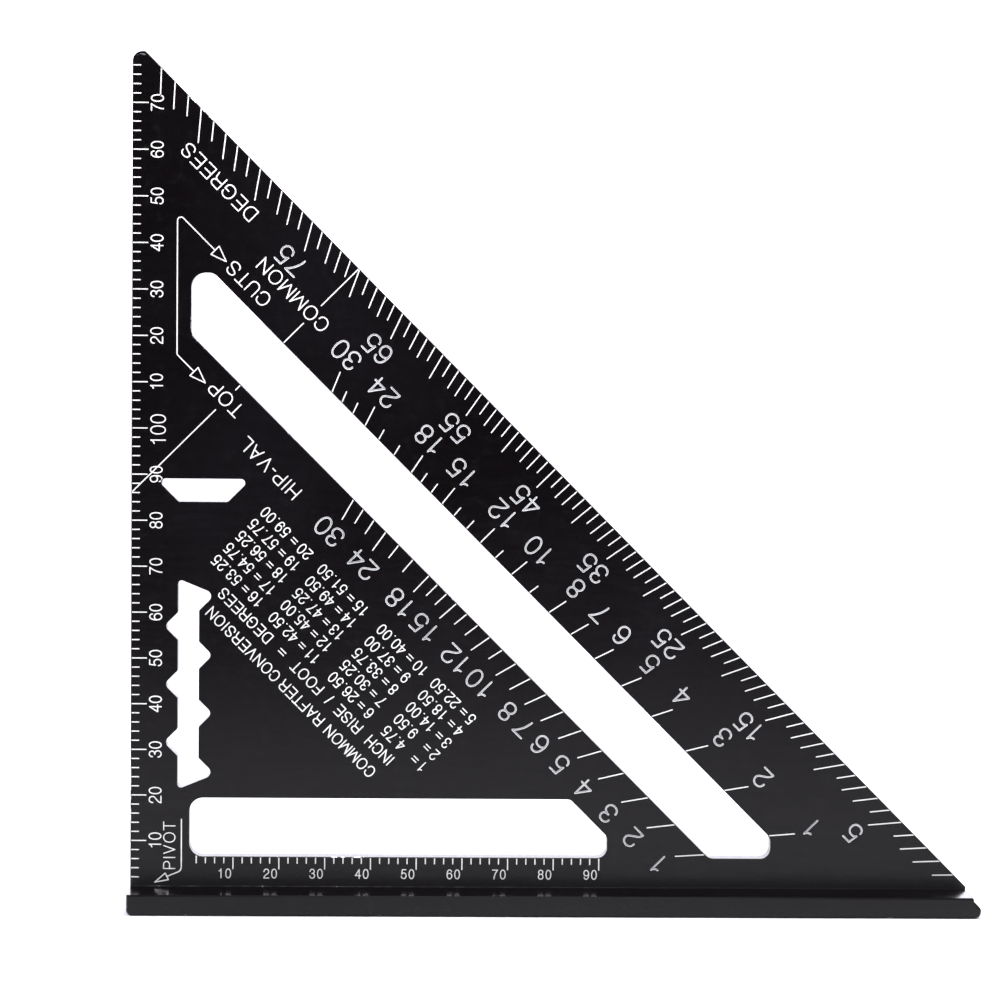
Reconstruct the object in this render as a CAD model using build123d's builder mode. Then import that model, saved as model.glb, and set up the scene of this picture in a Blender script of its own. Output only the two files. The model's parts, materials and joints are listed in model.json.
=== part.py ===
"""Rafter square: a triangular aluminium blade let into a guide fence, with painted scales.

X runs along the fence, Y through the blade and Z up the blade's upright leg. The marked face
looks along -Y. The origin is the middle of the fence's underside.

Everything on the blade is laid out from the pivot, the corner where the upright leg meets the
top of the fence: every angle mark is a ray from there.
"""

import os
from functools import cache
from math import atan2, cos, degrees, radians, sin, sqrt, tan
from typing import NamedTuple

from build123d import *

# ---------------------------------------------------------------- driving dimensions (mm)
LEG = 183.8  # pivot to the sharp ends of the hypotenuse, along X and along Z
BLADE_THICKNESS = 4.0
APEX_TOP = 181.0  # the sharp apex is cut level here
APEX_LEG_RADIUS = 2.1
APEX_TIP_RADIUS = 0.9
EDGE_BREAK = 0.15  # chamfer round both faces of the blade

FENCE_WIDTH = 26.0
FENCE_THICKNESS = 4.5
FENCE_BREAK = 0.35
END_TRIM = 0.5  # how far the sharp toe is ground back
END_FLAT = 0.8  # upright flat below the toe, before the fence's sloping end
TOE_RADIUS = 1.5
TOP_END_RADIUS = 0.5  # where the fence's top turns down at the toe
HEEL_RADIUS = 1.2

GROOVE_DEPTH = 1.8  # how far the blade is let into the fence, along its whole length

# Slots, as distances from the pivot. A rail is measured square to the hypotenuse.
SLOT_MARGIN = 12.8  # upright leg to the slots
SLOT_FLOOR = 6.55  # fence to the slots
LEVEL_SLOT_TOP = 19.45
LEVEL_SLOT_END = 104.1
LEVEL_SLOT_SLOPE = 115.4  # X + Z along its sloping end
RAFTER_SLOT_NEAR = 94.1
RAFTER_SLOT_FAR = 106.9
RAFTER_SLOT_TOP = 133.6
RAFTER_SLOT_END = 140.0

VENT_FLOOR = 84.1
VENT_TOP = 89.1
VENT_LEFT = 10.25
VENT_RIGHT = 20.85
VENT_RADIUS = 0.9

SCRIBE_LEFT = 10.15
SCRIBE_RIGHT = 14.73
SCRIBE_MIDDLE = 44.3  # height of the middle notch
NOTCH_PITCH = 12.7
NOTCH_DEPTH = 2.97
NOTCH_RADIUS = 1.2
NOTCH_MOUTH_RADIUS = 0.4
SCRIBE_END_TIP = 18.3
SCRIBE_END_RISE = 0.65  # sharp tip of an end notch, beyond the notch's own height
SCRIBE_END_SLOPE = 0.41

# Marks: paint standing in shallow engraving, drawn as films on the marked face.
PAINT = 0.05
TICK_WIDTH = 0.27
MARK_MARGIN = 0.18  # the paint stops this far inside the blade's edges
OVERRUN = 1.0  # ticks are drawn this far past an edge, then trimmed

LEG_TICK_STEP = 2
LEG_TICK_LAST = 178
LEG_TICK_SHORT = 1.9
LEG_TICK_LONG = 3.5
LEG_NUMBER_FOOT = 6.63  # leg edge to the foot of the numbers
HUNDRED_FOOT = 7.3
HUNDRED_MIDDLE = 99.6

SLOT_SCALE_ZERO = 12.35
SLOT_TICK_COUNT = 45
SLOT_TICK_SHORT_FOOT = 5.0
SLOT_TICK_LONG_FOOT = 3.75
SLOT_NUMBER_FOOT = 1.85
SLOT_NUMBER_GAP = 0.5

HYPOTENUSE = LEG / sqrt(2)  # pivot to the hypotenuse, square to it
DEGREE_TICK_INNER = {0: 124.25, 1: 126.55, 2: 125.55, 3: 125.55, 4: 126.55}
DEGREE_NUMBER_FOOT = 122.65
COMMON_TICK_LONG = 111.3
COMMON_TICK_SHORT = 109.3
COMMON_NUMBER_FOOT = 116.9
HIP_TICK_LONG = 89.2
HIP_TICK_SHORT = 90.6
HIP_NUMBER_FOOT = 87.4

RAFTER_RUN = 12  # inches of run for a common rafter
HIP_RUN = 17  # inches of run for a hip or valley rafter

# ---------------------------------------------------------------- frames
TOE_CORNER = LEG - END_TRIM - END_FLAT + FENCE_THICKNESS
OVERALL_LENGTH = TOE_CORNER - TOE_RADIUS / tan(radians(22.5)) + TOE_RADIUS
PIVOT = (-OVERALL_LENGTH / 2, 0, FENCE_THICKNESS)

MIDDLE = Plane(origin=PIVOT, x_dir=(1, 0, 0), z_dir=(0, -1, 0))
FACE = MIDDLE.offset(BLADE_THICKNESS / 2)

# On the face, x runs along the fence and y up the leg. The numbers on the leg read upwards,
# and everything beside the hypotenuse reads up it with its feet outwards.
UP_THE_LEG = Location((0, 0, 0), (0, 0, 90))
UP_THE_RAFTER = Location((0, 0, 0), (0, 0, 135))


# ---------------------------------------------------------------- stroke lettering
# Nominal width and strokes of each glyph, in hundredths of the cap height, with strokes parted
# by "|". A stroke starts at a point and goes on by straight runs (x,y), by quarter rounds that
# leave level (hx,y) or upright (vx,y), or by a free curve with two handles (cx,y:x,y:x,y). All
# figures have one nominal width, and a few strokes reach past their glyph's own.
GLYPHS = {
    "0": (60, "30,100 h60,50 v30,0 h0,50 v30,100"),
    "1": (60, "11,77 c22,78:33,85:37,100 37,0"),
    "2": (60, "0,70 v29,100 h59,71 c59,44:3,36:-1,0 61,0"),
    "3": (60, "3,74 v30,100 h56,76 v26,54 h60,28 v30,0 h0,27"),
    "4": (60, "45,0 45,100 -3,31 63,31"),
    "5": (60, "55,100 12,100 5,50 c10,58:19,63:30,63 h60,32 v29,0 h0,26"),
    "6": (60, "56,77 v32,100 h0,46 v30,0 h60,31 v31,61 h1,36"),
    "7": (60, "-1,100 62,100 c37,75:19,39:16,0"),
    "8": (60, "30,54 h4,77 v30,100 h56,77 v30,54 h59,27 v30,0 h1,27 v30,54"),
    "9": (60, "4,23 v28,0 h60,54 v30,100 h0,69 v29,39 h59,64"),
    "A": (67, "0,0 33.5,100 67,0 | 13,36 54,36"),
    "C": (69, "69,68 v36,100 h0,50 v36,0 h69,34"),
    "D": (67, "0,0 0,100 28,100 h67,50 v28,0 0,0"),
    "E": (61, "61,0 0,0 0,100 60,100 | 0,53 55,53"),
    "F": (47, "0,0 0,100 55,100 | 0,52 48,52"),
    "G": (74, "72,70 v39,100 h0,50 v39,0 h73,32 73,49 42,49"),
    "H": (61, "0,0 0,100 | 61,0 61,100 | 0,53 61,53"),
    "I": (10, "5,0 5,100"),
    "L": (48, "0,100 0,0 48,0"),
    "M": (79, "0,0 0,100 39.5,6 79,100 79,0"),
    "N": (66, "0,0 0,100 66,0 66,100"),
    "O": (76, "38,100 h76,50 v38,0 h0,50 v38,100"),
    "P": (57, "0,0 0,100 31,100 h57,74 v31,47 0,47"),
    "R": (66, "0,0 0,100 37,100 h65,75 v37,50 0,50 | 37,50 h62,26 66,0"),
    "S": (62, "60,72 v31,100 h3,76 c3,50:62,60:62,27 v31,0 h0,29"),
    "T": (57, "-4,100 61,100 | 28.5,100 28.5,0"),
    "U": (63, "0,100 0,34 v31.5,0 h63,34 63,100"),
    "V": (64, "0,100 32,0 64,100"),
    "=": (64, "0,31 64,31 | 0,62 64,62"),
    "-": (12, "-5,38 17,38"),
    "/": (22, "0,0 22,100"),
    ".": (19, "7,2 12,2"),
}
ROUND = 0.6  # handle length of a quarter round; 0.5523 would be a true ellipse


class Style(NamedTuple):
    """The look of a run of lettering."""

    cap: float  # cap height, between stroke centres
    stroke: float  # stroke width
    stretch: float  # stretch of the glyphs' widths
    step: float  # clear step between two glyphs, as a share of the cap height


SCALE_STYLE = Style(cap=4.05, stroke=0.39, stretch=1.04, step=0.245)
LEG_STYLE = Style(cap=2.55, stroke=0.28, stretch=0.89, step=0.23)
HUNDRED_STYLE = Style(cap=3.13, stroke=0.28, stretch=0.92, step=0.215)
SLOT_STYLE = Style(cap=1.95, stroke=0.24, stretch=0.89, step=0.33)
WORD_STYLE = Style(cap=2.95, stroke=0.30, stretch=1.16, step=0.31)
PIVOT_STYLE = Style(cap=2.45, stroke=0.24, stretch=1.10, step=0.31)
TABLE_STYLE = Style(cap=2.30, stroke=0.28, stretch=0.86, step=0.245)
HEADING_STYLE = Style(cap=2.35, stroke=0.29, stretch=1.02, step=0.29)


def point_of(text, scale_x, scale_y):
    """A glyph point in millimetres."""
    x, y = text.split(",")
    return float(x) * scale_x, float(y) * scale_y


def stroke_edges(stroke, scale_x, scale_y):
    """The centre line of one stroke, as lines and cubic curves."""
    tokens = stroke.split()
    here = point_of(tokens[0], scale_x, scale_y)
    edges = []
    for token in tokens[1:]:
        if token[0] == "c":
            handle_a, handle_b, there = (point_of(p, scale_x, scale_y) for p in token[1:].split(":"))
            edges.append(Edge.make_bezier(here, handle_a, handle_b, there))
        elif token[0] in "hv":
            there = point_of(token[1:], scale_x, scale_y)
            run = (there[0] - here[0], there[1] - here[1])
            level_first = token[0] == "h"
            out = (run[0] * ROUND, 0) if level_first else (0, run[1] * ROUND)
            back = (0, run[1] * ROUND) if level_first else (run[0] * ROUND, 0)
            handle_a = (here[0] + out[0], here[1] + out[1])
            handle_b = (there[0] - back[0], there[1] - back[1])
            edges.append(Edge.make_bezier(here, handle_a, handle_b, there))
        else:
            there = point_of(token, scale_x, scale_y)
            edges.append(Edge.make_line(here, there))
        here = there
    return edges


def round_ended(edges, width):
    """Add a band of constant width along the edges to the open sketch, with round ends and corners."""
    for edge in edges:
        trace(edge, line_width=width)
    knuckles = [edges[0] @ 0, edges[-1] @ 1]
    for before, after in zip(edges, edges[1:]):
        if (before % 1).get_angle(after % 0) > 1:
            knuckles.append(before @ 1)
    with Locations(*knuckles):
        Circle(width / 2)


@cache
def glyph_face(character, style):
    """One glyph standing on the origin, drawn once for each style."""
    scale_y = style.cap / 100
    scale_x = scale_y * style.stretch
    with BuildSketch(mode=Mode.PRIVATE) as glyph:
        for stroke in GLYPHS[character][1].split("|"):
            round_ended(stroke_edges(stroke, scale_x, scale_y), style.stroke)
    return glyph.sketch


def word_length(word, style):
    """Length of a word, from its first glyph's start to its last one's nominal width."""
    glyph_widths = sum(GLYPHS[c][0] for c in word) / 100 * style.stretch
    return style.cap * (glyph_widths + style.step * (len(word) - 1))


def lettering(words, style):
    """The glyphs of several words, each given with its place and whether that is its start,
    middle or end."""
    glyphs = []
    for word, x, y, anchor in words:
        share = {"start": 0, "middle": 0.5, "end": 1}[anchor]
        pen = x - share * word_length(word, style)
        for character in word:
            glyphs.append(glyph_face(character, style).moved(Location((pen, y))))
            pen += style.cap * (GLYPHS[character][0] / 100 * style.stretch + style.step)
    return glyphs


# ---------------------------------------------------------------- ticks and pointers
def ray_point(angle, distance):
    """Where the ray at an angle above the fence crosses a line square to the rafter direction."""
    return distance * tan(radians(angle - 45)), -distance


def tick_place(start, end):
    """Middle and direction of a tick between two points, and its length."""
    run = (end[0] - start[0], end[1] - start[1])
    middle = ((start[0] + end[0]) / 2, (start[1] + end[1]) / 2, 0)
    return Location(middle, (0, 0, degrees(atan2(run[1], run[0])))), sqrt(run[0] ** 2 + run[1] ** 2)


def ticks(pairs):
    """Add a round-ended tick to the open sketch for each pair of end points."""
    for start, end in pairs:
        place, length = tick_place(start, end)
        with Locations(place):
            SlotCenterToCenter(length, TICK_WIDTH)


def pitch_angle(rise, run):
    """Rafter angle above level for a rise over a run."""
    return degrees(atan2(rise, run))


def trim_to_blade():
    """Keep only what lies on the blade, just inside its edges."""
    add(marked_area.sketch, mode=Mode.INTERSECT)


def finish(part, name):
    """Label a sub-part and write its file."""
    part.label = name
    export_step(part, f"parts/{name}.step")


# ---------------------------------------------------------------- blade outline
level_slot_corners = [
    (SLOT_MARGIN, SLOT_FLOOR),
    (SLOT_MARGIN, LEVEL_SLOT_TOP),
    (LEVEL_SLOT_SLOPE - LEVEL_SLOT_TOP, LEVEL_SLOT_TOP),
    (LEVEL_SLOT_END, LEVEL_SLOT_SLOPE - LEVEL_SLOT_END),
    (LEVEL_SLOT_END, SLOT_FLOOR),
]
level_slot_radii = [3.0, 3.0, 1.5, 2.0, 2.2]

near_sum = RAFTER_SLOT_NEAR * sqrt(2)  # X + Z along the slot's inner side
far_sum = RAFTER_SLOT_FAR * sqrt(2)  # X + Z along its outer side
rafter_slot_corners = [
    (SLOT_MARGIN, near_sum - SLOT_MARGIN),
    (SLOT_MARGIN, RAFTER_SLOT_TOP),
    (far_sum - RAFTER_SLOT_TOP, RAFTER_SLOT_TOP),
    (RAFTER_SLOT_END, far_sum - RAFTER_SLOT_END),
    (RAFTER_SLOT_END, SLOT_FLOOR),
    (near_sum - SLOT_FLOOR, SLOT_FLOOR),
]
rafter_slot_radii = [3.0, 3.0, 2.5, 2.5, 2.2, 2.5]

vent_rise = VENT_TOP - VENT_FLOOR
vent_corners = [
    (VENT_LEFT, VENT_FLOOR),
    (VENT_LEFT - vent_rise, VENT_TOP),
    (VENT_RIGHT + vent_rise, VENT_TOP),
    (VENT_RIGHT, VENT_FLOOR),
]


def scribe_slot_path():
    """Corners and radii of the notched slot, up its left side and down its right."""
    end_reach = 1.5 * NOTCH_PITCH + SCRIBE_END_RISE
    end_fall = SCRIBE_END_SLOPE * (SCRIBE_END_TIP - SCRIBE_LEFT)
    corners = [(SCRIBE_LEFT, SCRIBE_MIDDLE - end_reach - end_fall)]
    radii = [0.8]
    for step in (-1, 0, 1):
        height = SCRIBE_MIDDLE + step * NOTCH_PITCH
        corners.append((SCRIBE_LEFT, height - NOTCH_DEPTH))
        corners.append((SCRIBE_LEFT - NOTCH_DEPTH, height))
        corners.append((SCRIBE_LEFT, height + NOTCH_DEPTH))
        radii += [NOTCH_MOUTH_RADIUS, NOTCH_RADIUS, NOTCH_MOUTH_RADIUS]
    corners.append((SCRIBE_LEFT, SCRIBE_MIDDLE + end_reach + end_fall))
    corners.append((SCRIBE_END_TIP, SCRIBE_MIDDLE + end_reach))
    end_mouth = end_reach - (SCRIBE_END_TIP - SCRIBE_RIGHT)
    corners.append((SCRIBE_RIGHT, SCRIBE_MIDDLE + end_mouth))
    radii += [0.8, 1.3, NOTCH_MOUTH_RADIUS]
    for step in (0.5, -0.5):
        height = SCRIBE_MIDDLE + step * NOTCH_PITCH
        corners.append((SCRIBE_RIGHT, height + NOTCH_DEPTH))
        corners.append((SCRIBE_RIGHT + NOTCH_DEPTH, height))
        corners.append((SCRIBE_RIGHT, height - NOTCH_DEPTH))
        radii += [NOTCH_MOUTH_RADIUS, NOTCH_RADIUS, NOTCH_MOUTH_RADIUS]
    corners.append((SCRIBE_RIGHT, SCRIBE_MIDDLE - end_mouth))
    corners.append((SCRIBE_END_TIP, SCRIBE_MIDDLE - end_reach))
    radii += [NOTCH_MOUTH_RADIUS, 1.3]
    return corners, radii


toe = LEG - END_TRIM
buried_toe = toe + GROOVE_DEPTH - END_FLAT
with BuildSketch() as outline:
    with BuildLine():
        FilletPolyline(
            [
                (0, -GROOVE_DEPTH),
                (0, APEX_TOP),
                (LEG - APEX_TOP, APEX_TOP),
                (toe, END_TRIM),
                (toe, -END_FLAT),
                (buried_toe, -GROOVE_DEPTH),
            ],
            radius=[0, APEX_LEG_RADIUS, APEX_TIP_RADIUS, 0, 0, 0],
            close=True,
        )
    make_face()
    for slot_corners, slot_radii in (
        (level_slot_corners, level_slot_radii),
        (rafter_slot_corners, rafter_slot_radii),
        (vent_corners, [VENT_RADIUS] * 4),
        scribe_slot_path(),
    ):
        with BuildLine():
            FilletPolyline(slot_corners, radius=slot_radii, close=True)
        make_face(mode=Mode.SUBTRACT)

with BuildSketch() as marked_area:
    add(offset(outline.sketch, amount=-MARK_MARGIN, mode=Mode.PRIVATE))

os.makedirs("parts", exist_ok=True)

# ---------------------------------------------------------------- blade
with BuildPart() as blade:
    with BuildSketch(FACE):
        add(outline.sketch)
    extrude(amount=-BLADE_THICKNESS)
    chamfer(blade.faces().filter_by(Axis.Y).edges(), EDGE_BREAK)
finish(blade.part, "blade")

# ---------------------------------------------------------------- fence
with BuildPart() as fence:
    with BuildSketch(MIDDLE):
        with BuildLine():
            FilletPolyline(
                [
                    (0, 0),
                    (toe, 0),
                    (toe, -END_FLAT),
                    (TOE_CORNER, -FENCE_THICKNESS),
                    (0, -FENCE_THICKNESS),
                ],
                radius=[0, TOP_END_RADIUS, 0, TOE_RADIUS, HEEL_RADIUS],
                close=True,
            )
        make_face()
    extrude(amount=FENCE_WIDTH / 2, both=True)
    chamfer(fence.faces().filter_by(Plane.XZ).edges(), FENCE_BREAK)
    with BuildSketch(MIDDLE):
        with Locations((TOE_CORNER / 2, -GROOVE_DEPTH / 2)):
            Rectangle(TOE_CORNER, GROOVE_DEPTH)
    extrude(amount=BLADE_THICKNESS / 2, both=True, mode=Mode.SUBTRACT)
finish(fence.part, "fence")

# ---------------------------------------------------------------- leg scale, in millimetres
with BuildPart() as leg_ticks:
    with BuildSketch(FACE) as leg_tick_marks:
        heights = range(LEG_TICK_STEP, LEG_TICK_LAST + 1, LEG_TICK_STEP)
        for tens in (True, False):
            reach = LEG_TICK_LONG if tens else LEG_TICK_SHORT
            reach -= TICK_WIDTH / 2
            with Locations(*[((reach - OVERRUN) / 2, z) for z in heights if (z % 10 == 0) == tens]):
                SlotCenterToCenter(reach + OVERRUN, TICK_WIDTH)
        trim_to_blade()
    extrude(amount=PAINT)
finish(leg_ticks.part, "leg_ticks")

with BuildPart() as leg_numbers:
    with BuildSketch(FACE) as leg_number_marks:
        # The numbers start again at 10 after 100, which is larger. The vent bites into one of them.
        labels = [(str(z % 100), z, -LEG_NUMBER_FOOT, "middle") for z in range(10, 171, 10) if z != 100]
        with Locations(UP_THE_LEG):
            add(lettering(labels, LEG_STYLE))
            add(lettering([("100", HUNDRED_MIDDLE, -HUNDRED_FOOT, "middle")], HUNDRED_STYLE))
        trim_to_blade()
    extrude(amount=PAINT)
finish(leg_numbers.part, "leg_numbers")

# ---------------------------------------------------------------- scale under the level slot
with BuildPart() as slot_ticks:
    with BuildSketch(FACE):
        for count in range(1, SLOT_TICK_COUNT + 1):
            x = SLOT_SCALE_ZERO + 2 * count
            foot = SLOT_TICK_LONG_FOOT if count % 5 == 0 else SLOT_TICK_SHORT_FOOT
            ticks([((x, foot + TICK_WIDTH / 2), (x, SLOT_FLOOR + 2 * OVERRUN))])
        trim_to_blade()
    extrude(amount=PAINT)
finish(slot_ticks.part, "slot_ticks")

with BuildPart() as slot_numbers:
    with BuildSketch(FACE):
        labels = [
            (str(tens), SLOT_SCALE_ZERO + tens - SLOT_NUMBER_GAP, SLOT_NUMBER_FOOT, "end")
            for tens in range(10, 91, 10)
        ]
        add(lettering(labels, SLOT_STYLE))
    extrude(amount=PAINT)
finish(slot_numbers.part, "slot_numbers")

# ---------------------------------------------------------------- degree scale
with BuildPart() as degree_ticks:
    with BuildSketch(FACE):
        with Locations(UP_THE_RAFTER):
            for angle in range(1, 89):
                inner = DEGREE_TICK_INNER[angle % 5]
                ticks([(ray_point(angle, inner), ray_point(angle, HYPOTENUSE + OVERRUN))])
        trim_to_blade()
    extrude(amount=PAINT)
finish(degree_ticks.part, "degree_ticks")

# Each number stands inside its tick, moved a little to keep clear of its neighbours.
DEGREE_NUMBERS = {5: -103.15, 15: -70.25, 25: -44.55, 35: -21.3, 45: -0.4, 55: 21.6, 65: 45.65, 75: 72.4}
with BuildPart() as degree_numbers:
    with BuildSketch(FACE):
        labels = [(str(n), s, -DEGREE_NUMBER_FOOT, "middle") for n, s in DEGREE_NUMBERS.items()]
        with Locations(UP_THE_RAFTER):
            add(lettering(labels, SCALE_STYLE))
    extrude(amount=PAINT)
finish(degree_numbers.part, "degree_numbers")

# ---------------------------------------------------------------- rafter scales
# Where each number stands along its scale. The other rises have a short tick, but for one.
COMMON_NUMBERS = {1: -95.95, 2: -80.35, 3: -67.75, 4: -55.05, 5: -45.0, 6: -36.15, 7: -29.3, 8: -21.75}
COMMON_NUMBERS |= {10: -10.3, 12: 0.85, 15: 13.5, 18: 23.65, 24: 38.05, 30: 49.5}
HIP_NUMBERS = {1: -77.95, 2: -69.7, 3: -62.15, 4: -54.45, 5: -46.95, 6: -40.7, 7: -35.55, 8: -30.55}
HIP_NUMBERS |= {10: -22.05, 12: -14.5, 15: -4.85, 18: 2.8, 24: 14.6, 30: 24.8}
RISES = [*range(1, 19), *range(20, 31, 2)]
COMMON_LONG_RISES = [*COMMON_NUMBERS]
HIP_LONG_RISES = [*HIP_NUMBERS, 9]


def rafter_scale(run, edge, long_end, short_end, long_rises):
    """Ticks of a rise-per-foot scale, from the slot's edge to their long or short ends."""
    for rise in RISES:
        angle = pitch_angle(rise, run)
        end = long_end if rise in long_rises else short_end
        ticks([(ray_point(angle, edge), ray_point(angle, end))])


with BuildPart() as common_ticks:
    with BuildSketch(FACE):
        with Locations(UP_THE_RAFTER):
            edge = RAFTER_SLOT_FAR - OVERRUN
            rafter_scale(RAFTER_RUN, edge, COMMON_TICK_LONG, COMMON_TICK_SHORT, COMMON_LONG_RISES)
        trim_to_blade()
    extrude(amount=PAINT)
finish(common_ticks.part, "common_ticks")

with BuildPart() as common_numbers:
    with BuildSketch(FACE):
        labels = [(str(n), s, -COMMON_NUMBER_FOOT, "middle") for n, s in COMMON_NUMBERS.items()]
        with Locations(UP_THE_RAFTER):
            add(lettering(labels, SCALE_STYLE))
    extrude(amount=PAINT)
finish(common_numbers.part, "common_numbers")

with BuildPart() as hip_valley_ticks:
    with BuildSketch(FACE):
        with Locations(UP_THE_RAFTER):
            edge = RAFTER_SLOT_NEAR + OVERRUN
            rafter_scale(HIP_RUN, edge, HIP_TICK_LONG, HIP_TICK_SHORT, HIP_LONG_RISES)
        trim_to_blade()
    extrude(amount=PAINT)
finish(hip_valley_ticks.part, "hip_valley_ticks")

with BuildPart() as hip_valley_numbers:
    with BuildSketch(FACE):
        labels = [(str(n), s, -HIP_NUMBER_FOOT, "middle") for n, s in HIP_NUMBERS.items()]
        with Locations(UP_THE_RAFTER):
            add(lettering(labels, SCALE_STYLE))
    extrude(amount=PAINT)
finish(hip_valley_numbers.part, "hip_valley_numbers")

# ---------------------------------------------------------------- names of the scales
SCALE_WORDS = {
    "degrees_word": ("DEGREES", 84.6, -123.0),
    "common_word": ("COMMON", 56.75, -117.25),
    "hip_valley_word": ("HIP-VAL", 35.35, -87.4),
}
for node, (word, s, r) in SCALE_WORDS.items():
    with BuildPart() as scale_word:
        with BuildSketch(FACE):
            with Locations(UP_THE_RAFTER):
                add(lettering([(word, s, r, "start")], WORD_STYLE))
        extrude(amount=PAINT)
    finish(scale_word.part, node)

# ---------------------------------------------------------------- top cuts mark
TOP_CUT = 60.8  # along the rafter direction, where the top-cut line crosses it
POINTER_LEFT = 9.75  # upright part of the pointer, from the leg edge
POINTER_TOP_LEVEL = 88.9
POINTER_CUTS_LEVEL = 110.55
TOP_TIP = 66.5
CUTS_TIP = 81.9
HEAD_LENGTH = 3.4
HEAD_HALF_WIDTH = 1.25

with BuildPart() as top_cuts_words:
    with BuildSketch(FACE):
        with Locations(UP_THE_RAFTER):
            add(lettering([("TOP", 56.75, -91.1, "start"), ("CUTS", 69.45, -112.1, "start")], WORD_STYLE))
    extrude(amount=PAINT)
finish(top_cuts_words.part, "top_cuts_words")

with BuildPart() as top_cut_line:
    with BuildSketch(FACE):
        with Locations(UP_THE_RAFTER):
            ticks(
                [
                    ((TOP_CUT, -HYPOTENUSE - OVERRUN), (TOP_CUT, -118.5)),
                    ((TOP_CUT, -113.1), (TOP_CUT, -RAFTER_SLOT_FAR + OVERRUN)),
                    ((TOP_CUT, -RAFTER_SLOT_NEAR - OVERRUN), (TOP_CUT, -92.5)),
                    ((TOP_CUT, -86.4), (TOP_CUT, -TOP_CUT + OVERRUN)),
                ]
            )
        trim_to_blade()
        # Where the line runs over the leg scale, that paint is already there.
        add(leg_tick_marks.sketch_local, mode=Mode.SUBTRACT)
        add(leg_number_marks.sketch_local, mode=Mode.SUBTRACT)
    extrude(amount=PAINT)
finish(top_cut_line.part, "top_cut_line")


def arrow_head(tip, toward, length, half_width):
    """An open triangular head with its tip at a point, opening away from it."""
    direction = Vector(*toward).normalized()
    side = Vector(-direction.Y, direction.X)
    base = Vector(*tip) + direction * length
    corners = [Vector(*tip), base + side * half_width, base - side * half_width]
    edges = [Edge.make_line(corners[i], corners[(i + 1) % 3]) for i in range(3)]
    round_ended(edges, TICK_WIDTH)


with BuildPart() as top_cuts_pointer:
    with BuildSketch(FACE):
        # An upright on the face is a slope of the rafter direction, so both ends follow from it.
        upright_sum = -POINTER_LEFT * sqrt(2)
        top_corner = (upright_sum + POINTER_TOP_LEVEL, -POINTER_TOP_LEVEL)
        cuts_corner = (upright_sum + POINTER_CUTS_LEVEL, -POINTER_CUTS_LEVEL)
        with BuildLine(mode=Mode.PRIVATE) as shaft:
            FilletPolyline(
                [
                    (TOP_TIP + HEAD_LENGTH, -POINTER_TOP_LEVEL),
                    top_corner,
                    cuts_corner,
                    (CUTS_TIP + HEAD_LENGTH, -POINTER_CUTS_LEVEL),
                ],
                radius=[0.5, 0.75],
            )
        with BuildSketch(mode=Mode.PRIVATE) as pointer:
            round_ended(Wire(shaft.edges()).order_edges(), TICK_WIDTH)
            arrow_head((TOP_TIP, -POINTER_TOP_LEVEL), (1, 0), HEAD_LENGTH, HEAD_HALF_WIDTH)
            arrow_head((CUTS_TIP, -POINTER_CUTS_LEVEL), (1, 0), HEAD_LENGTH, HEAD_HALF_WIDTH)
        with Locations(UP_THE_RAFTER):
            add(pointer.sketch)
    extrude(amount=PAINT)
finish(top_cuts_pointer.part, "top_cuts_pointer")

# ---------------------------------------------------------------- pivot mark
PIVOT_WORD_START = 3.85
PIVOT_WORD_FOOT = 9.7
PIVOT_LINE = 11.1
PIVOT_LINE_TOP = 14.7
PIVOT_LINE_BEND = 3.4
PIVOT_TIP = (5.35, 0.85)
PIVOT_HEAD_LENGTH = 2.9
PIVOT_HEAD_ANGLE = 26
PIVOT_HEAD_HALF_WIDTH = 0.8

with BuildPart() as pivot_word:
    with BuildSketch(FACE):
        with Locations(UP_THE_LEG):
            add(lettering([("PIVOT", PIVOT_WORD_START, -PIVOT_WORD_FOOT, "start")], PIVOT_STYLE))
    extrude(amount=PAINT)
finish(pivot_word.part, "pivot_word")

with BuildPart() as pivot_pointer:
    with BuildSketch(FACE):
        head_direction = (cos(radians(PIVOT_HEAD_ANGLE)), sin(radians(PIVOT_HEAD_ANGLE)))
        head_base = (
            PIVOT_TIP[0] + PIVOT_HEAD_LENGTH * head_direction[0],
            PIVOT_TIP[1] + PIVOT_HEAD_LENGTH * head_direction[1],
        )
        with BuildLine(mode=Mode.PRIVATE) as shaft:
            FilletPolyline(
                [(PIVOT_LINE, PIVOT_LINE_TOP), (PIVOT_LINE, PIVOT_LINE_BEND), head_base],
                radius=1.2,
            )
        round_ended(Wire(shaft.edges()).order_edges(), TICK_WIDTH)
        arrow_head(PIVOT_TIP, head_direction, PIVOT_HEAD_LENGTH, PIVOT_HEAD_HALF_WIDTH)
    extrude(amount=PAINT)
finish(pivot_pointer.part, "pivot_pointer")

# ---------------------------------------------------------------- conversion table
# Roof angle in degrees for each whole inch of rise per foot, to about a quarter of a degree.
TABLE_FIRST_ROW = 64.75
TABLE_ROW_STEP = 3.72
TABLE_ROWS = 5
TABLE_COLUMNS = [
    # right end of the rise, left end of the equals sign, right end of the angle
    (-25.55, -24.5, -14.45),
    (-9.0, -7.8, 2.15),
    (9.4, 10.55, 20.55),
    (26.85, 28.0, 38.05),
]
TABLE_ANGLES = ["4.75", "9.50", "14.00", "18.50", "22.50", "26.50", "30.25", "33.75", "37.00", "40.00"]
TABLE_ANGLES += ["42.50", "45.00", "47.25", "49.50", "51.50", "53.25", "54.75", "56.25", "57.75", "59.00"]

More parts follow.
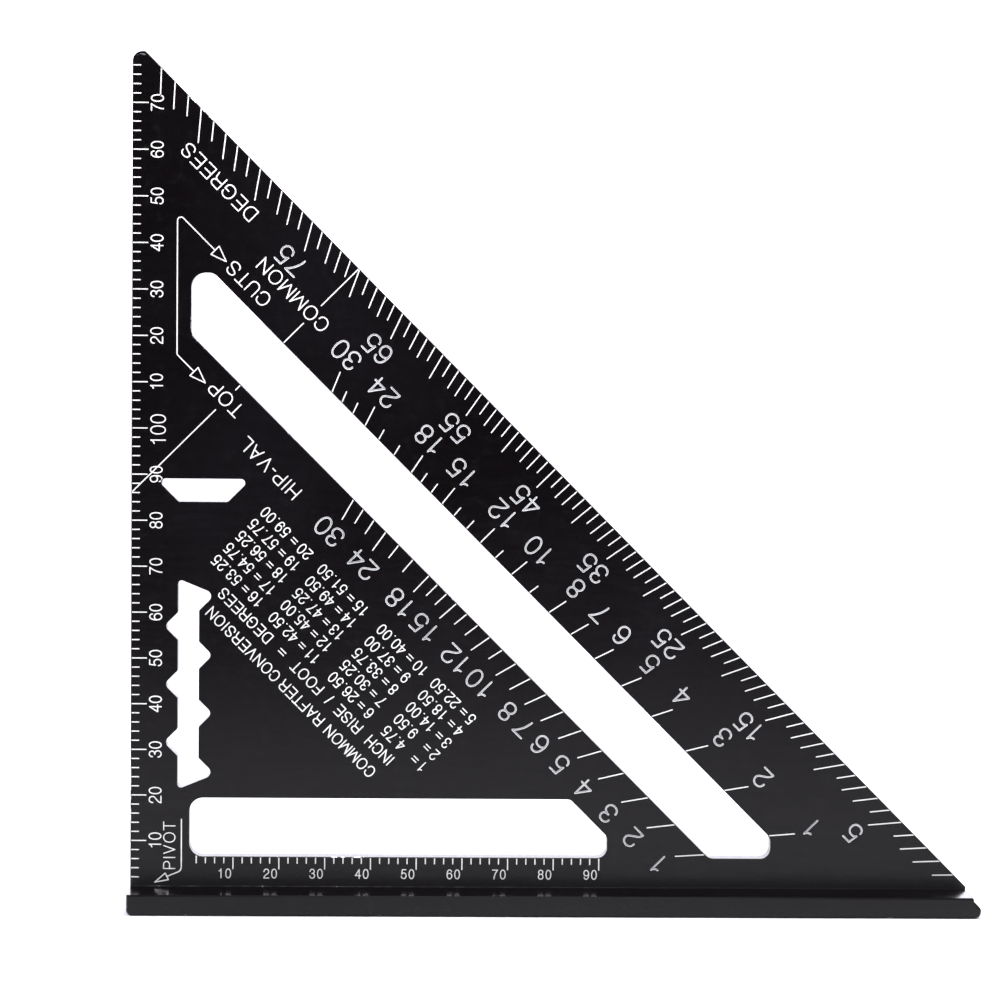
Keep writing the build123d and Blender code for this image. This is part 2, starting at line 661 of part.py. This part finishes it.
with BuildPart() as table_heading:
    with BuildSketch(FACE):
        heading = [
            ("COMMON", -19.65, -55.95, "start"),
            ("RAFTER", -3.7, -55.95, "start"),
            ("CONVERSION", 9.85, -55.95, "start"),
            ("INCH", -20.5, -60.7, "start"),
            ("RISE", -10.75, -60.7, "start"),
            ("/", -1.65, -60.7, "start"),
            ("FOOT", 1.3, -60.7, "start"),
            ("=", 12.45, -60.7, "start"),
            ("DEGREES", 17.0, -60.7, "start"),
        ]
        with Locations(UP_THE_RAFTER):
            add(lettering(heading, HEADING_STYLE))
    extrude(amount=PAINT)
finish(table_heading.part, "table_heading")

for column, (rise_end, equals_start, angle_end) in enumerate(TABLE_COLUMNS):
    first = column * TABLE_ROWS + 1
    with BuildPart() as table_column:
        with BuildSketch(FACE):
            entries = []
            for row in range(TABLE_ROWS):
                rise = first + row
                r = -(TABLE_FIRST_ROW + row * TABLE_ROW_STEP)
                entries.append((str(rise), rise_end, r, "end"))
                entries.append(("=", equals_start, r, "start"))
                entries.append((TABLE_ANGLES[rise - 1], angle_end, r, "end"))
            with Locations(UP_THE_RAFTER):
                add(lettering(entries, TABLE_STYLE))
        extrude(amount=PAINT)
    finish(table_column.part, f"table_rise_{first}_to_{first + TABLE_ROWS - 1}")
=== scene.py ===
"""Looks of the rafter square: engraved blade, painted marks, guide fence, floor, lights, camera."""

import json
from math import cos, pi, radians, sin

import bmesh
import bpy
from mathutils import Matrix, Vector
from mathutils.geometry import delaunay_2d_cdt


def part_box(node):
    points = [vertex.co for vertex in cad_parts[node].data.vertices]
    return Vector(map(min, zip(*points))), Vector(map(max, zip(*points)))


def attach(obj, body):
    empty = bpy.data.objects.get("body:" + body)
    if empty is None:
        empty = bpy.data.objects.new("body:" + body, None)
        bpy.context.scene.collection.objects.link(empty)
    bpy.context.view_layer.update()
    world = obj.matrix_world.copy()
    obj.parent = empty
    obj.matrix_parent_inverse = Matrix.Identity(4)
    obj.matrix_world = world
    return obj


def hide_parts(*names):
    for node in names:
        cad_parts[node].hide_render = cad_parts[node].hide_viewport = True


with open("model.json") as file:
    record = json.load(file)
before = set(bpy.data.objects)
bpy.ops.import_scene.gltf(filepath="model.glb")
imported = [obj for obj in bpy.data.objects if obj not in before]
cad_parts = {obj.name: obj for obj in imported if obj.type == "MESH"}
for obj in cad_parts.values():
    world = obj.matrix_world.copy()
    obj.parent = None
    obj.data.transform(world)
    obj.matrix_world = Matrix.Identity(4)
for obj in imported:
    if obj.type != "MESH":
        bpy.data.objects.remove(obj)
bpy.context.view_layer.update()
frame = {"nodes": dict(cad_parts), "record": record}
nodes = frame["nodes"]

MM = 0.001
BLADE_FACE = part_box("blade")[0].y  # the marked face
PLANE_SLACK = 0.002 * MM
WELD = 0.0005 * MM
ENGRAVING = 0.11 * MM
PAINT_SINK = 0.03 * MM  # how far the paint stands below the face
LARGE_FIGURES = ("common_numbers", "degree_numbers", "hip_valley_numbers")
RIM = 0.10  # painted rim along each side of a large figure's stroke, in millimetres
RIM_DROP = 0.04 * MM  # how far the paint sinks further inside the rims
BEAD = 0.14 * MM  # size of the bead along the blade's foot
BEAD_STEPS = 6
BEAD_SHORT = 1.2 * MM  # how far the bead stops short of the blade's buried toe

mark_nodes = sorted(
    part["node"] for part in frame["record"]["subparts"] if part["material_slot"] == "mark_paint"
)


# ---------------------------------------------------------------- node helpers
class Shader:
    """A node material with its Principled shader, built up by short calls."""

    def __init__(self, name):
        self.material = bpy.data.materials.new(name)
        self.material.use_nodes = True
        self.tree = self.material.node_tree
        self.principled = self.tree.nodes["Principled BSDF"]
        self.place = self.tree.nodes.new("ShaderNodeTexCoord").outputs["Object"]

    def node(self, kind, inputs=(), **settings):
        """A node with its settings and inputs, each input a value or another node's output."""
        made = self.tree.nodes.new(kind)
        for key, value in settings.items():
            setattr(made, key, value)
        for key, value in dict(inputs).items():
            if isinstance(value, bpy.types.NodeSocket):
                self.tree.links.new(value, made.inputs[key])
            else:
                made.inputs[key].default_value = value
        return made

    def stretched(self, scale):
        """Object coordinates in metres, scaled along each axis."""
        return self.node("ShaderNodeMapping", {"Vector": self.place, "Scale": scale}).outputs["Vector"]

    def noise(self, scale, detail=3.0, roughness=0.55, stretch=(1, 1, 1)):
        """Noise whose grains are about one over its scale, in metres."""
        place = self.stretched(stretch)
        inputs = {"Vector": place, "Scale": scale, "Detail": detail, "Roughness": roughness}
        return self.node("ShaderNodeTexNoise", inputs).outputs["Fac"]

    def ramp(self, value, low, high, to_low=0.0, to_high=1.0):
        """A value mapped smoothly from one range to another, and held at its ends."""
        inputs = {"Value": value, "From Min": low, "From Max": high, "To Min": to_low, "To Max": to_high}
        made = self.node("ShaderNodeMapRange", inputs, interpolation_type="SMOOTHSTEP")
        return made.outputs["Result"]

    def math(self, operation, first, second):
        """One arithmetic step."""
        return self.node("ShaderNodeMath", {0: first, 1: second}, operation=operation).outputs["Value"]

    def mix(self, share, first, second):
        """A colour between two others."""
        made = self.node("ShaderNodeMix", {"Factor": share}, data_type="RGBA")
        for socket, colour in ((made.inputs["A"], first), (made.inputs["B"], second)):
            if isinstance(colour, bpy.types.NodeSocket):
                self.tree.links.new(colour, socket)
            else:
                socket.default_value = (*colour, 1.0)
        return made.outputs["Result"]

    def bump(self, height, distance):
        """Bump the surface by a height map, up to a distance in metres."""
        inputs = {"Height": height, "Distance": distance, "Strength": 1.0}
        self.set("Normal", self.node("ShaderNodeBump", inputs).outputs["Normal"])

    def along(self, axis):
        """The object coordinate along one axis, in metres."""
        return self.node("ShaderNodeSeparateXYZ", {"Vector": self.place}).outputs[axis]

    def streak(self, middle, half_size):
        """A ragged streak, by its middle and half size along X and Z, in millimetres."""
        (x, z), (half_x, half_z) = middle, half_size
        scale = (1 / (half_x * MM), 0.0, 1 / (half_z * MM))
        shift = (-x / half_x, 0.0, -z / half_z)
        inputs = {"Vector": self.place, "Scale": scale, "Location": shift}
        offset = self.node("ShaderNodeMapping", inputs).outputs["Vector"]
        away = self.node("ShaderNodeVectorMath", {0: offset}, operation="LENGTH").outputs["Value"]
        grain = self.ramp(self.noise(1600.0, 3.0, 0.7, (0.4, 1, 1)), 0.42, 0.56)
        return self.math("MULTIPLY", self.ramp(away, 0.6, 1.0, 1.0, 0.0), grain)

    def specks(self, share):
        """Sparse round specks with soft edges: a share of the cells of a grid hold one."""
        inputs = {"Vector": self.place, "Scale": SPECK_CELLS, "Randomness": 1.0}
        cells = self.node("ShaderNodeTexVoronoi", inputs).outputs
        lottery = self.node("ShaderNodeSeparateColor", {"Color": cells["Color"]}).outputs["Red"]
        dot = self.ramp(cells["Distance"], 0.6 * SPECK_RADIUS, SPECK_RADIUS, 1.0, 0.0)
        return self.math("MULTIPLY", self.math("LESS_THAN", lottery, share), dot)

    def set(self, socket, value):
        """Set or link one socket of the Principled shader."""
        target = self.principled.inputs[socket]
        if isinstance(value, bpy.types.NodeSocket):
            self.tree.links.new(value, target)
        else:
            target.default_value = value


# ---------------------------------------------------------------- materials
SPECK_CELLS = 95.0  # cells in a metre
SPECK_RADIUS = 0.035  # share of a cell
# The tint of the painted sheen: a lighter colour near the foot that stands in for reflected light.
PAINTED_SHEEN_TINT = (1.0, 0.98, 1.03)
BARE_METAL = (0.50, 0.51, 0.53)
ALONG = (0.12, 1.0, 1.0)  # stretches a grain along X
THROUGH = (1.0, 0.1, 1.0)  # stretches a grain through the blade
APEX_HIGHLIGHT = ((-90.7, 184.75), (1.25, 0.26))  # a painted highlight along the apex's top: its middle and half size along X and Z, millimetres
STREAK_COVER = 0.3  # share of bare-metal colour in the streak, a painted highlight
GRAIN_DEPTH = 0.0025 * MM


def black_anodised(name, roughness, gloss, grain, stretch, speck_share, painted_sheen=(), streak=()):
    """Black anodising over aluminium: cloudy colour, directional grain, a few bare specks. A painted
    sheen, colour lightened in place of light reflected up from below, fades from a low height to a high
    one, and a painted highlight, a streak of bare-metal colour, lies at a given place."""
    shader = Shader(name)
    clouds = shader.noise(14.0, 4.0)
    mottle = shader.noise(420.0, 5.0, 0.65)
    lines = shader.noise(grain, 4.0, 0.6, stretch)

    cloudiness = shader.ramp(clouds, 0.35, 0.68)
    tint = shader.mix(cloudiness, (0.0022, 0.0015, 0.0019), (0.0036, 0.0030, 0.0040))
    tint = shader.mix(shader.ramp(mottle, 0.50, 0.78, 0.0, 0.55), tint, (0.0080, 0.0070, 0.0082))
    bare = shader.specks(speck_share)
    # Painted highlight: a streak of bare-metal colour along the apex's top, in place of the light its
    # bevel catches.
    if streak:
        bare_share = shader.math("MULTIPLY", shader.streak(*streak), STREAK_COVER)
        bare = shader.math("MAXIMUM", bare, bare_share)
    tint = shader.mix(bare, tint, BARE_METAL)
    # Painted sheen: the colour grows lighter towards the foot, in place of light reflected up from the
    # floor and the fence's top.
    if painted_sheen:
        low, high, cover = painted_sheen
        tint = shader.mix(shader.ramp(shader.along("Z"), low * MM, high * MM, cover, 0.0), tint, PAINTED_SHEEN_TINT)
    shader.set("Base Color", tint)

    line_roughness = shader.ramp(lines, 0.3, 0.7, roughness - 0.02, roughness + 0.03)
    cloud_roughness = shader.ramp(clouds, 0.3, 0.7, -0.02, 0.02)
    shader.set("Roughness", shader.math("ADD", line_roughness, cloud_roughness))
    shader.set("IOR", gloss)
    line_height = shader.ramp(lines, 0.2, 0.8, 0.0, 0.6)
    mottle_height = shader.ramp(mottle, 0.3, 0.8, 0.0, 0.4)
    shader.bump(shader.math("ADD", line_height, mottle_height), GRAIN_DEPTH)
    return shader.material


def worn_edge(name):
    """A broken edge where the anodising has rubbed through in places, more so near the apex."""
    shader = Shader(name)
    patches = shader.noise(60.0, 3.0)
    nicks = shader.noise(900.0, 3.0, 0.7)
    mask = shader.math("ADD", shader.ramp(patches, 0.45, 0.75, -0.20, 0.12), nicks)
    mask = shader.math("ADD", mask, shader.ramp(shader.along("Z"), 120 * MM, 172 * MM, 0.0, 0.11))
    bare_share = shader.ramp(mask, 0.56, 0.66)
    shader.set("Base Color", shader.mix(bare_share, (0.004, 0.004, 0.005), (0.52, 0.53, 0.55)))
    shader.set("Metallic", bare_share)
    shader.set("Roughness", shader.ramp(nicks, 0.3, 0.7, 0.24, 0.42))
    shader.set("IOR", 1.27)
    shader.bump(nicks, 0.02 * MM)
    return shader.material


def bead_with_painted_glints(name):
    """The bead in the foot's corner: dark, with painted highlights, light spots in place of the light
    caught along the junction, that thin out to the toe.
    """
    shader = Shader(name)
    glint_grain = shader.noise(700.0, 3.0, 0.7)
    # Painted highlight: the light spots grow fewer from the heel towards the toe.
    mask = shader.math("ADD", glint_grain, shader.ramp(shader.along("X"), -92 * MM, 60 * MM, 0.06, -0.12))
    tint = shader.mix(shader.ramp(mask, 0.45, 0.62), (0.003, 0.003, 0.0035), (0.022, 0.022, 0.025))
    shader.set("Base Color", shader.mix(shader.ramp(mask, 0.70, 0.74), tint, (0.30, 0.30, 0.32)))
    shader.set("Roughness", 0.6)
    shader.set("IOR", 1.3)
    return shader.material


def enamel(name, dull, bright):
    """Off-white paint wiped into the engraving: slightly uneven, with a few dark pinholes."""
    shader = Shader(name)
    cloud = shader.noise(90.0, 3.0)
    grain = shader.noise(2600.0, 3.0, 0.6)
    tint = shader.mix(shader.ramp(cloud, 0.3, 0.7), dull, bright)
    pores = shader.ramp(grain, 0.66, 0.78, 0.0, 0.6)
    shader.set("Base Color", shader.mix(pores, tint, (0.30, 0.30, 0.31)))
    shader.set("Roughness", shader.ramp(grain, 0.3, 0.7, 0.48, 0.66))
    shader.bump(grain, 0.012 * MM)
    return shader.material


# Both the blade and the fence carry a painted sheen near their feet: lighter colour in place of reflected
# light.
blade_black = black_anodised(
    "blade_anodised_black", 0.23, 1.29, 900.0, ALONG, 0.004, painted_sheen=(4.5, 7.8, 0.011), streak=APEX_HIGHLIGHT)
wall_black = black_anodised("cut_wall_anodised_black", 0.24, 1.5, 1500.0, THROUGH, 0.02)
fence_black = black_anodised(
    "fence_anodised_black", 0.22, 1.28, 1300.0, ALONG, 0.004, painted_sheen=(0.2, 3.6, 0.003))
guide_black = black_anodised("guide_face_black", 0.15, 1.8, 1300.0, ALONG, 0.0)
fence_edge_black = black_anodised("fence_edge_black", 0.35, 1.13, 700.0, ALONG, 0.0)
bead_black = bead_with_painted_glints("foot_bead_black")
edge_metal = worn_edge("worn_edge_aluminium")
paint_white = enamel("off_white_enamel", (0.66, 0.67, 0.64), (0.80, 0.81, 0.77))
paint_core = enamel("off_white_enamel_core", (0.13, 0.14, 0.165), (0.26, 0.27, 0.31))


# ---------------------------------------------------------------- engraved blade
CDT_SLACK = 1e-5  # millimetres
CORNER_REACH = 1.5  # how much further a sharp corner moves than a straight side does
FACES_FRONT = -0.9  # a normal's Y, at most, on a face that looks to the front


def flat_key(vertex):
    """A vertex's place on the face in millimetres, to a hundredth of a micrometre."""
    return round(vertex.co.x / MM, 5), round(vertex.co.z / MM, 5)


def outline_edges(mesh, level):
    """Directed edges round the outside of the triangles that lie at a level and face the front."""
    edges = set()
    for polygon in mesh.polygons:
        corners = [mesh.vertices[i] for i in polygon.vertices]
        if polygon.normal.y < FACES_FRONT and all(abs(v.co.y - level) < PLANE_SLACK for v in corners):
            keys = [flat_key(v) for v in corners]
            edges.update(zip(keys, keys[1:] + keys[:1]))
    return sorted(edge for edge in edges if edge[::-1] not in edges)


def inset_edges(outline, distance):
    """The same outline moved inwards by a distance in millimetres, or a little more at corners."""
    inward = {}
    for a, b in outline:
        along = (Vector(b) - Vector(a)).normalized()
        for end in (a, b):
            inward.setdefault(end, []).append(Vector((-along.y, along.x)))
    moved = {}
    for point, normals in inward.items():
        mean = sum(normals, Vector((0, 0))) / len(normals)
        reach = distance / max(mean.length, 1 / CORNER_REACH)
        moved[point] = tuple(Vector(point) + mean.normalized() * reach)
    return [(moved[a], moved[b]) for a, b in outline]


def layered_triangles(outlines):
    """Triangles that fill the first of several closed outlines and are cut along the others.
    Gives the corners, then each triangle's corner numbers with the outlines it is inside, as the
    bits of a number. Only those inside the first are kept."""
    places = {}
    constraints = []
    owners = []  # each constraint's outline, as its bit
    for number, outline in enumerate(outlines):
        for ends in outline:
            constraints.append(tuple(places.setdefault(end, len(places)) for end in ends))
            owners.append(1 << number)
    points = [Vector(p) for p in places]
    corners, edges, faces, _, sources, _ = delaunay_2d_cdt(points, constraints, [], 0, CDT_SLACK, True)

    crossing = {}
    for edge, from_constraints in zip(edges, sources):
        mask = 0
        for index in from_constraints:
            mask ^= owners[index]
        crossing[frozenset(edge)] = mask
    beside = {}
    for index, face in enumerate(faces):
        for a, b in zip(face, face[1:] + face[:1]):
            beside.setdefault(frozenset((a, b)), []).append(index)

    # Beyond the hull is outside every outline. Each outline that is crossed flips its own bit.
    inside = {}
    queue = []
    for edge, touching in beside.items():
        if len(touching) == 1 and touching[0] not in inside:
            inside[touching[0]] = crossing.get(edge, 0)
            queue.append(touching[0])
    while queue:
        index = queue.pop()
        face = faces[index]
        for a, b in zip(face, face[1:] + face[:1]):
            edge = frozenset((a, b))
            for other in beside[edge]:
                if other not in inside:
                    inside[other] = inside[index] ^ crossing.get(edge, 0)
                    queue.append(other)
    return corners, [(face, inside[i]) for i, face in enumerate(faces) if inside[i] & 1]


def engraved_face():
    """The marked face with every mark's outline cut in. Each triangle has its corners and
    whether it is a mark's floor."""
    outlines = [outline_edges(nodes["blade"].data, BLADE_FACE)]
    for name in mark_nodes:
        mesh = nodes[name].data
        outlines.append(outline_edges(mesh, min(v.co.y for v in mesh.vertices)))
    corners, triangles = layered_triangles(outlines)
    return corners, [(triangle, inside > 1) for triangle, inside in triangles]


def make_object(name, mesh, materials):
    """Link a mesh as an object of its own, with its materials."""
    for material in materials:
        mesh.materials.append(material)
    made = bpy.data.objects.new(name, mesh)
    bpy.context.scene.collection.objects.link(made)
    return made


# Material slots of the blade and of the fence, in the order their materials are given.
FACE, WALL, EDGE = range(3)
SIDE, UPPER_EDGE, LOWER_EDGE, GUIDE = range(4)

# How far a normal leans to an axis, from 0 to 1, on a flat and on a broken edge.
FLAT = 0.99
EDGE_LOW, EDGE_HIGH = 0.3, 0.95


def blade_slot(normal):
    """Which material a face of the blade takes: the flats, the cut walls or the broken edges."""
    lean = abs(normal.y)
    if lean > FLAT:
        return FACE
    return EDGE if EDGE_LOW < lean < EDGE_HIGH else WALL


def fence_slot(normal):
    """Which material a face of the fence takes: its top, its sides and underside, or its edges."""
    if normal.z > FLAT:
        return GUIDE
    if normal.z > EDGE_LOW:
        return UPPER_EDGE
    return LOWER_EDGE if EDGE_LOW < -normal.z < EDGE_HIGH else SIDE


def make_blade():
    """The blade: the CAD shape's back, walls and broken edges, with a new engraved front."""
    corners, triangles = engraved_face()
    shape = bmesh.new()
    shape.from_mesh(nodes["blade"].data)
    front = [
        face for face in shape.faces
        if face.normal.y < FACES_FRONT and all(abs(v.co.y - BLADE_FACE) < PLANE_SLACK for v in face.verts)
    ]
    bmesh.ops.delete(shape, geom=front, context="FACES")
    for face in shape.faces:
        face.material_index = blade_slot(face.normal)

    levels = {False: BLADE_FACE, True: BLADE_FACE + ENGRAVING}
    made = {}

    def corner(index, sunk):
        if (index, sunk) not in made:
            x, z = corners[index]
            made[index, sunk] = shape.verts.new((x * MM, levels[sunk], z * MM))
        return made[index, sunk]

    sides_of = {}
    for triangle, sunk in triangles:
        face = shape.faces.new([corner(i, sunk) for i in triangle])
        face.material_index = FACE
        for a, b in zip(triangle, triangle[1:] + triangle[:1]):
            sides_of.setdefault(frozenset((a, b)), []).append((a, b, sunk))
    for sides in sides_of.values():
        if len(sides) == 2 and sides[0][2] != sides[1][2]:
            a, b, _ = next(side for side in sides if not side[2])
            wall = [corner(b, False), corner(a, False), corner(a, True), corner(b, True)]
            shape.faces.new(wall).material_index = WALL
    bmesh.ops.remove_doubles(shape, verts=shape.verts, dist=WELD)
    mesh = bpy.data.meshes.new("blade_plate")
    shape.to_mesh(mesh)
    shape.free()
    for polygon in mesh.polygons:
        polygon.use_smooth = False
    return make_object("blade_plate", mesh, [blade_black, wall_black, edge_metal])


def make_paint(name):
    """One mark's paint: the CAD film, sunk into the engraving. In the large figures the paint
    has drawn back from the middle of each stroke."""
    mesh = nodes[name].data
    outline = outline_edges(mesh, min(v.co.y for v in mesh.vertices))
    outlines = [outline]
    if name in LARGE_FIGURES:
        outlines.append(inset_edges(outline, RIM))
    corners, triangles = layered_triangles(outlines)
    core_corners = {i for triangle, inside in triangles if inside > 1 for i in triangle}
    shape = bmesh.new()
    front, back = {}, {}
    for i in {i for triangle, _ in triangles for i in triangle}:
        x, z = corners[i][0] * MM, corners[i][1] * MM
        sink = PAINT_SINK + (RIM_DROP if i in core_corners else 0.0)
        front[i] = shape.verts.new((x, BLADE_FACE + sink, z))
        back[i] = shape.verts.new((x, BLADE_FACE + ENGRAVING, z))
    sides_of = {}
    for triangle, inside in triangles:
        face = shape.faces.new([front[i] for i in triangle])
        face.material_index = 1 if inside > 1 else 0
        shape.faces.new([back[i] for i in reversed(triangle)])
        for a, b in zip(triangle, triangle[1:] + triangle[:1]):
            sides_of.setdefault(frozenset((a, b)), []).append((a, b))
    for sides in sides_of.values():
        if len(sides) == 1:
            a, b = sides[0]
            shape.faces.new([front[b], front[a], back[a], back[b]])
    paint = bpy.data.meshes.new("paint_" + name)
    shape.to_mesh(paint)
    shape.free()
    return make_object("paint_" + name, paint, [paint_white, paint_core])


def make_fence():
    """The guide fence, with its own material on its top and on its broken edges."""
    mesh = nodes["fence"].data.copy()
    mesh.materials.clear()
    for polygon in mesh.polygons:
        polygon.material_index = fence_slot(polygon.normal)
    return make_object("fence_bar", mesh, [fence_black, fence_edge_black, edge_metal, guide_black])


def make_bead(side):
    """The hollow bead where the blade's foot meets the top of the fence, on one side."""
    low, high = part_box("blade")
    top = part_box("fence")[1].z
    face = (low if side < 0 else high).y
    ends = (low.x, high.x - BEAD_SHORT)
    shape = bmesh.new()
    rings = []
    for x in ends:
        arc = [
            (face + side * BEAD * (1 - cos(turn)), top + BEAD * (1 - sin(turn)))
            for turn in (i * pi / 2 / BEAD_STEPS for i in range(BEAD_STEPS + 1))
        ]
        ring = [(face - side * BEAD / 4, top - BEAD / 4), *arc]
        rings.append([shape.verts.new((x, y, z)) for y, z in ring])
    count = len(rings[0])
    for i in range(count):
        j = (i + 1) % count
        shape.faces.new([rings[0][i], rings[0][j], rings[1][j], rings[1][i]])
    for ring in rings:
        shape.faces.new(ring)
    bmesh.ops.recalc_face_normals(shape, faces=shape.faces)
    name = "foot_bead_front" if side < 0 else "foot_bead_back"
    mesh = bpy.data.meshes.new(name)
    shape.to_mesh(mesh)
    shape.free()
    return make_object(name, mesh, [bead_black])


blade = make_blade()
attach(blade, "root")
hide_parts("blade")

fence = make_fence()
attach(fence, "root")
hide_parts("fence")

for side in (-1, 1):
    bead = make_bead(side)
    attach(bead, "root")

for name in mark_nodes:
    paint = make_paint(name)
    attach(paint, "root")
    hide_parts(name)


# ---------------------------------------------------------------- floor
def pale_floor():
    """A wide plain floor, pale and matt."""
    shader = Shader("pale_floor")
    shader.set("Base Color", shader.mix(shader.noise(3.0), (0.90, 0.90, 0.90), (0.93, 0.93, 0.93)))
    shader.set("Roughness", 0.9)
    return shader.material


FLOOR_RADIUS = 12.0
FLOOR_CORNERS = 96
FLOOR_DROP = 0.05 * MM  # keeps the fence's underside clear of the floor

floor_shape = bmesh.new()
bmesh.ops.create_circle(floor_shape, cap_ends=True, radius=FLOOR_RADIUS, segments=FLOOR_CORNERS)
floor_mesh = bpy.data.meshes.new("floor")
floor_shape.to_mesh(floor_mesh)
floor_shape.free()
floor = make_object("floor", floor_mesh, [pale_floor()])
floor.location.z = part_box("fence")[0].z - FLOOR_DROP


# ---------------------------------------------------------------- lights
def area_light(name, place, target, size, power):
    """A square soft light aimed at a point."""
    data = bpy.data.lights.new(name, "AREA")
    data.size = size
    data.energy = power
    light = bpy.data.objects.new(name, data)
    light.location = place
    aim = Vector(target) - Vector(place)
    light.rotation_euler = aim.to_track_quat("-Z", "Y").to_euler()
    bpy.context.scene.collection.objects.link(light)


# The studio's walls, brighter beyond the object than behind the camera.
WALL_TINT = (0.99, 0.965, 1.07, 1.0)
WALL_NEAR, WALL_FAR = 1.1, 2.6  # strength
WALL_TURN = (0.2, 0.9)  # the direction's Y, where the strength starts to rise and where it is full

world = bpy.data.worlds.new("studio")
world.use_nodes = True
walls = world.node_tree
direction = walls.nodes.new("ShaderNodeSeparateXYZ")
walls.links.new(walls.nodes.new("ShaderNodeTexCoord").outputs["Generated"], direction.inputs["Vector"])
glow = walls.nodes.new("ShaderNodeMapRange")
glow.interpolation_type = "SMOOTHSTEP"
glow.inputs["From Min"].default_value, glow.inputs["From Max"].default_value = WALL_TURN
glow.inputs["To Min"].default_value = WALL_NEAR
glow.inputs["To Max"].default_value = WALL_FAR
walls.links.new(direction.outputs["Y"], glow.inputs["Value"])
walls.links.new(glow.outputs["Result"], walls.nodes["Background"].inputs["Strength"])
walls.nodes["Background"].inputs["Color"].default_value = WALL_TINT
bpy.context.scene.world = world

# Places in metres, then the light's side in metres and its power in watts.
MIDDLE = (0.0, 0.0, 0.08)
BEFORE_FENCE = (0.0, -0.07, 0.0)
area_light("key", (-0.9, -0.9, 1.1), MIDDLE, 0.7, 2.5)
area_light("top", (0.2, 0.3, 1.4), MIDDLE, 1.0, 4.0)
area_light("floor_wash", (0.0, -0.07, 0.24), BEFORE_FENCE, 0.16, 0.55)

# A black card that stands upright before the blade and that only reflections see, as a studio
# hangs one to keep a polished black face dark. Its foot sets how high the blade's sheen reaches.
CARD_PLACE = (0.05, -0.36, 0.751)
CARD_HALF_SIZE = (1.1, 0.75, 1.0)

card_shape = bmesh.new()
bmesh.ops.create_grid(card_shape, x_segments=1, y_segments=1, size=1.0)
card_mesh = bpy.data.meshes.new("card")
card_shape.to_mesh(card_mesh)
card_shape.free()
card_shader = Shader("card_black")
card_shader.set("Base Color", (0.01, 0.01, 0.01, 1.0))
card_shader.set("Roughness", 1.0)
card = make_object("card", card_mesh, [card_shader.material])
card.location = CARD_PLACE
card.scale = CARD_HALF_SIZE
card.rotation_euler = (pi / 2, 0.0, 0.0)
card.visible_camera = False
card.visible_diffuse = False
card.visible_shadow = False


# ---------------------------------------------------------------- camera
CAMERA_PLACE = (-0.03664, -0.70515, 0.13495)
CAMERA_PITCH = radians(3.704)  # below level
CAMERA_YAW = radians(1.970)  # towards +X
CAMERA_ROLL = radians(0.591)
SENSOR = 36.0
FOCAL_SHARE = 3.2404  # focal length over the frame's width

level_ahead = Vector((sin(CAMERA_YAW), cos(CAMERA_YAW), 0.0))
ahead = cos(CAMERA_PITCH) * level_ahead - sin(CAMERA_PITCH) * Vector((0.0, 0.0, 1.0))
level_right = Vector((cos(CAMERA_YAW), -sin(CAMERA_YAW), 0.0))
level_up = level_right.cross(ahead)
right = cos(CAMERA_ROLL) * level_right + sin(CAMERA_ROLL) * level_up
up = cos(CAMERA_ROLL) * level_up - sin(CAMERA_ROLL) * level_right
lens = bpy.data.cameras.new("camera")
lens.sensor_width = SENSOR
lens.lens = SENSOR * FOCAL_SHARE
lens.clip_start = 0.01
camera = bpy.data.objects.new("camera", lens)
turned = Matrix((right, up, -ahead)).transposed().to_4x4()
camera.matrix_world = Matrix.Translation(CAMERA_PLACE) @ turned
bpy.context.scene.collection.objects.link(camera)
bpy.context.scene.camera = camera
bpy.context.scene.view_settings.view_transform = "Standard"
